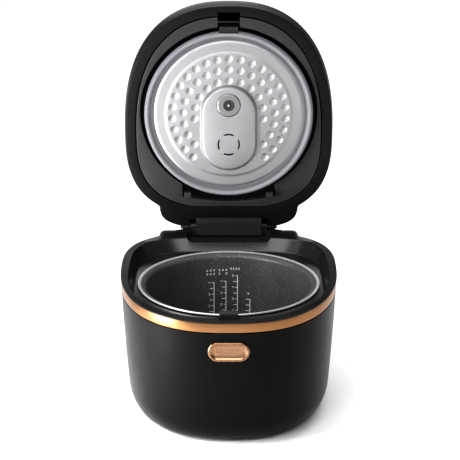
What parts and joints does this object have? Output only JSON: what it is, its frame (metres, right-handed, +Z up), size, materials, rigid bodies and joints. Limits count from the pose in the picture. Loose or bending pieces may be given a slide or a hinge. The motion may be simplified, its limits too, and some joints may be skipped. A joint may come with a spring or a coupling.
{
  "type": "rice cooker",
  "caption": "Black induction rice cooker with a hinged lid, a lift-out non-stick pot, a pull-off inner lid, a front release button and a copper trim band.",
  "frame": {"origin": "centre of the bounding box, at its bottom: the surface that the feet stand on", "axes": "+Z up, -Y towards the front with the release button, +Y towards the hinge, +X to the right seen from the front"},
  "size_m": [0.27, 0.3438, 0.4762],
  "materials": {
    "satin_black": "satin black moulding with a fine grain",
    "gloss_black": "glossy black moulding",
    "dark_grey": "dark grey satin moulding",
    "inner_plastic": "plain grey heat-proof moulding",
    "copper": "copper-coloured brushed finish",
    "rose_gold": "rose-gold metallic finish",
    "pot_coating": "dark speckled non-stick coating with a bare machined rim",
    "aluminium": "satin aluminium",
    "black_steel": "blackened steel",
    "steel": "brushed steel",
    "coil_copper": "enamelled copper winding",
    "silicone": "grey silicone",
    "rubber": "black rubber",
    "board_green": "green circuit board",
    "ferrite": "plain dark grey",
    "brass": "plain brass"
  },
  "bodies": {
    "body": {"outer_shell": "satin_black", "trim_band": "copper", "upper_frame": "gloss_black", "base_cover": "inner_plastic", "foot_front_left": "rubber", "foot_front_right": "rubber", "foot_rear_left": "rubber", "foot_rear_right": "rubber", "base_screw_rear_right": "steel", "base_screw_rear_left": "steel", "base_screw_front_left": "steel", "base_screw_front_right": "steel", "pot_well": "inner_plastic", "coil_carrier": "inner_plastic", "induction_coil": "coil_copper", "ferrite_bar_1": "ferrite", "ferrite_bar_2": "ferrite", "ferrite_bar_3": "ferrite", "ferrite_bar_4": "ferrite", "sensor_spring": "steel", "main_board": "board_green", "heat_sink": "aluminium", "fan_frame": "ferrite", "inlet_housing": "ferrite", "inlet_pin_line": "brass", "inlet_pin_earth": "brass", "inlet_pin_neutral": "brass", "hinge_bracket": "black_steel", "hinge_pin": "black_steel", "latch_pin": "steel", "latch_spring": "steel", "button_spring": "steel"},
    "lid": {"lid_cover": "satin_black", "lid_rim": "dark_grey", "lid_liner": "dark_grey", "lid_catch": "black_steel", "inner_lid_lug_left": "dark_grey", "inner_lid_lug_right": "dark_grey", "lid_heater": "aluminium", "control_panel": "gloss_black", "control_board": "board_green", "steam_seat": "inner_plastic", "hinge_arm": "dark_grey", "hinge_spring": "steel"},
    "inner_lid_set": {"inner_lid": "aluminium", "lid_seal": "silicone", "lid_sensor": "rubber", "steam_valve": "silicone"},
    "lid_clip": {"inner_lid_clip": "satin_black"},
    "vent_cap": {"steam_cap": "satin_black"},
    "pot": {"inner_pot": "pot_coating"},
    "sensor_plunger": {"pot_sensor": "aluminium"},
    "fan_wheel": {"fan_rotor": "rubber"},
    "button": {"release_button": "rose_gold"},
    "hook": {"latch_hook": "dark_grey"}
  },
  "joints": [
    {"name": "lid_hinge", "type": "hinge", "parent": "body", "child": "lid", "pos_m": [0, 0.1237, 0.1789], "axis": [-1, 0, 0], "range_deg": [-90, 0], "stiffness_Nm_per_rad": 0.7, "springref_deg": 11.46},
    {"name": "button_slide", "type": "slide", "parent": "body", "child": "button", "axis": [0, 1, 0], "range_m": [0, 0.0025], "stiffness_N_per_m": 300, "springref_m": -0.002, "deforming": ["button_spring"]},
    {"name": "hook_pivot", "type": "hinge", "parent": "body", "child": "hook", "pos_m": [0, -0.1548, 0.1435], "axis": [1, 0, 0], "range_deg": [0, 8], "stiffness_Nm_per_rad": 0.3, "springref_deg": -5.73, "deforming": ["latch_spring"]},
    {"name": "inner_lid_out", "type": "slide", "parent": "lid", "child": "inner_lid_set", "axis": [0, -1, 0], "range_m": [0, 0.08]},
    {"name": "clip_press", "type": "slide", "parent": "lid", "child": "lid_clip", "axis": [0, 0, 1], "range_m": [0, 0.002], "stiffness_N_per_m": 300, "springref_m": -0.002},
    {"name": "vent_cap_out", "type": "slide", "parent": "lid", "child": "vent_cap", "axis": [0, 1, 0], "range_m": [0, 0.03]},
    {"name": "pot_lift", "type": "slide", "parent": "body", "child": "pot", "axis": [0, 0, 1], "range_m": [0, 0.42]},
    {"name": "sensor_press", "type": "slide", "parent": "body", "child": "sensor_plunger", "axis": [0, 0, 1], "range_m": [-0.002, 0], "stiffness_N_per_m": 300, "springref_m": 0.002, "deforming": ["sensor_spring"]},
    {"name": "fan_spin", "type": "hinge", "parent": "body", "child": "fan_wheel", "pos_m": [0, 0.0837, 0.0145], "axis": [0, 0, 1], "continuous": true}
  ],
  "couplings": [
    {"joint": "hook_pivot", "follows": "button_slide", "rad_per_m": 55.6}
  ]
}
